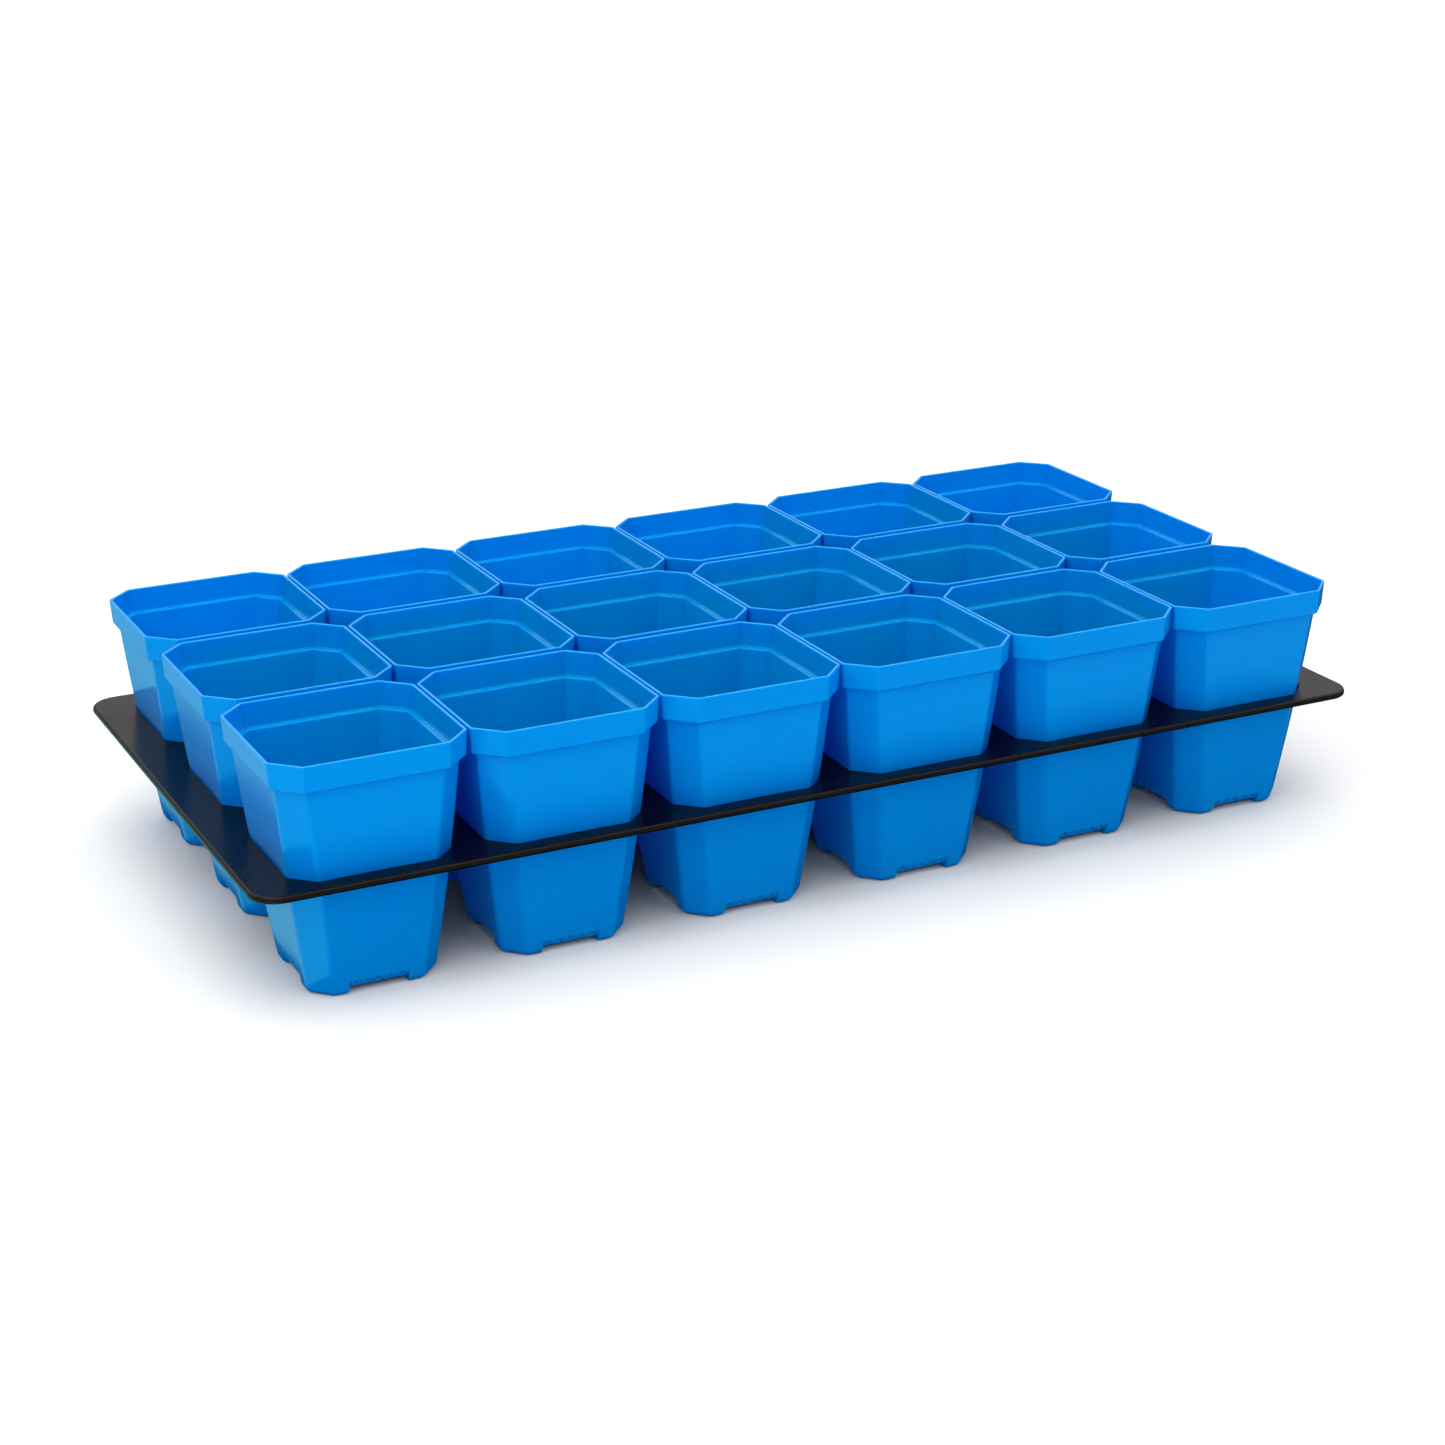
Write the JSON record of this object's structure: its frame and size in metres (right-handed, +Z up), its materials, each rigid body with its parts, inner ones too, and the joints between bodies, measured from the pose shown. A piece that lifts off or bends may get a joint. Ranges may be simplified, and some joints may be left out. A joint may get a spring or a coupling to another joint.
{
  "type": "seedling pot carrier tray",
  "caption": "Flat carrier plate holding tapered octagonal plant pots in a grid; each pot wedges in its own hole and lifts straight out.",
  "frame": {"origin": "centre of the footprint, on the surface that the pots' feet stand on", "axes": "+X along the rows of pots, parallel to the plate's long side; +Y across the rows, from front to back; +Z up, the way a pot lifts out"},
  "size_m": [0.532, 0.264, 0.107],
  "materials": {
    "pot_plastic": "semi-gloss injection-moulded polypropylene, bright blue",
    "plate_plastic": "satin to semi-gloss moulded sheet, black"
  },
  "bodies": {
    "carrier": {"carrier_plate": "plate_plastic"},
    "pot_front_1": {"pot_front_1": "pot_plastic"},
    "pot_front_2": {"pot_front_2": "pot_plastic"},
    "pot_front_3": {"pot_front_3": "pot_plastic"},
    "pot_front_4": {"pot_front_4": "pot_plastic"},
    "pot_front_5": {"pot_front_5": "pot_plastic"},
    "pot_front_6": {"pot_front_6": "pot_plastic"},
    "pot_middle_1": {"pot_middle_1": "pot_plastic"},
    "pot_middle_2": {"pot_middle_2": "pot_plastic"},
    "pot_middle_3": {"pot_middle_3": "pot_plastic"},
    "pot_middle_4": {"pot_middle_4": "pot_plastic"},
    "pot_middle_5": {"pot_middle_5": "pot_plastic"},
    "pot_middle_6": {"pot_middle_6": "pot_plastic"},
    "pot_back_1": {"pot_back_1": "pot_plastic"},
    "pot_back_2": {"pot_back_2": "pot_plastic"},
    "pot_back_3": {"pot_back_3": "pot_plastic"},
    "pot_back_4": {"pot_back_4": "pot_plastic"},
    "pot_back_5": {"pot_back_5": "pot_plastic"},
    "pot_back_6": {"pot_back_6": "pot_plastic"}
  },
  "joints": [
    {"name": "pot_front_1_lift", "type": "slide", "parent": "carrier", "child": "pot_front_1", "axis": [0, 0, 1], "range_m": [0, 0.11]},
    {"name": "pot_front_2_lift", "type": "slide", "parent": "carrier", "child": "pot_front_2", "axis": [0, 0, 1], "range_m": [0, 0.11]},
    {"name": "pot_front_3_lift", "type": "slide", "parent": "carrier", "child": "pot_front_3", "axis": [0, 0, 1], "range_m": [0, 0.11]},
    {"name": "pot_front_4_lift", "type": "slide", "parent": "carrier", "child": "pot_front_4", "axis": [0, 0, 1], "range_m": [0, 0.11]},
    {"name": "pot_front_5_lift", "type": "slide", "parent": "carrier", "child": "pot_front_5", "axis": [0, 0, 1], "range_m": [0, 0.11]},
    {"name": "pot_front_6_lift", "type": "slide", "parent": "carrier", "child": "pot_front_6", "axis": [0, 0, 1], "range_m": [0, 0.11]},
    {"name": "pot_middle_1_lift", "type": "slide", "parent": "carrier", "child": "pot_middle_1", "axis": [0, 0, 1], "range_m": [0, 0.11]},
    {"name": "pot_middle_2_lift", "type": "slide", "parent": "carrier", "child": "pot_middle_2", "axis": [0, 0, 1], "range_m": [0, 0.11]},
    {"name": "pot_middle_3_lift", "type": "slide", "parent": "carrier", "child": "pot_middle_3", "axis": [0, 0, 1], "range_m": [0, 0.11]},
    {"name": "pot_middle_4_lift", "type": "slide", "parent": "carrier", "child": "pot_middle_4", "axis": [0, 0, 1], "range_m": [0, 0.11]},
    {"name": "pot_middle_5_lift", "type": "slide", "parent": "carrier", "child": "pot_middle_5", "axis": [0, 0, 1], "range_m": [0, 0.11]},
    {"name": "pot_middle_6_lift", "type": "slide", "parent": "carrier", "child": "pot_middle_6", "axis": [0, 0, 1], "range_m": [0, 0.11]},
    {"name": "pot_back_1_lift", "type": "slide", "parent": "carrier", "child": "pot_back_1", "axis": [0, 0, 1], "range_m": [0, 0.11]},
    {"name": "pot_back_2_lift", "type": "slide", "parent": "carrier", "child": "pot_back_2", "axis": [0, 0, 1], "range_m": [0, 0.11]},
    {"name": "pot_back_3_lift", "type": "slide", "parent": "carrier", "child": "pot_back_3", "axis": [0, 0, 1], "range_m": [0, 0.11]},
    {"name": "pot_back_4_lift", "type": "slide", "parent": "carrier", "child": "pot_back_4", "axis": [0, 0, 1], "range_m": [0, 0.11]},
    {"name": "pot_back_5_lift", "type": "slide", "parent": "carrier", "child": "pot_back_5", "axis": [0, 0, 1], "range_m": [0, 0.11]},
    {"name": "pot_back_6_lift", "type": "slide", "parent": "carrier", "child": "pot_back_6", "axis": [0, 0, 1], "range_m": [0, 0.11]}
  ]
}
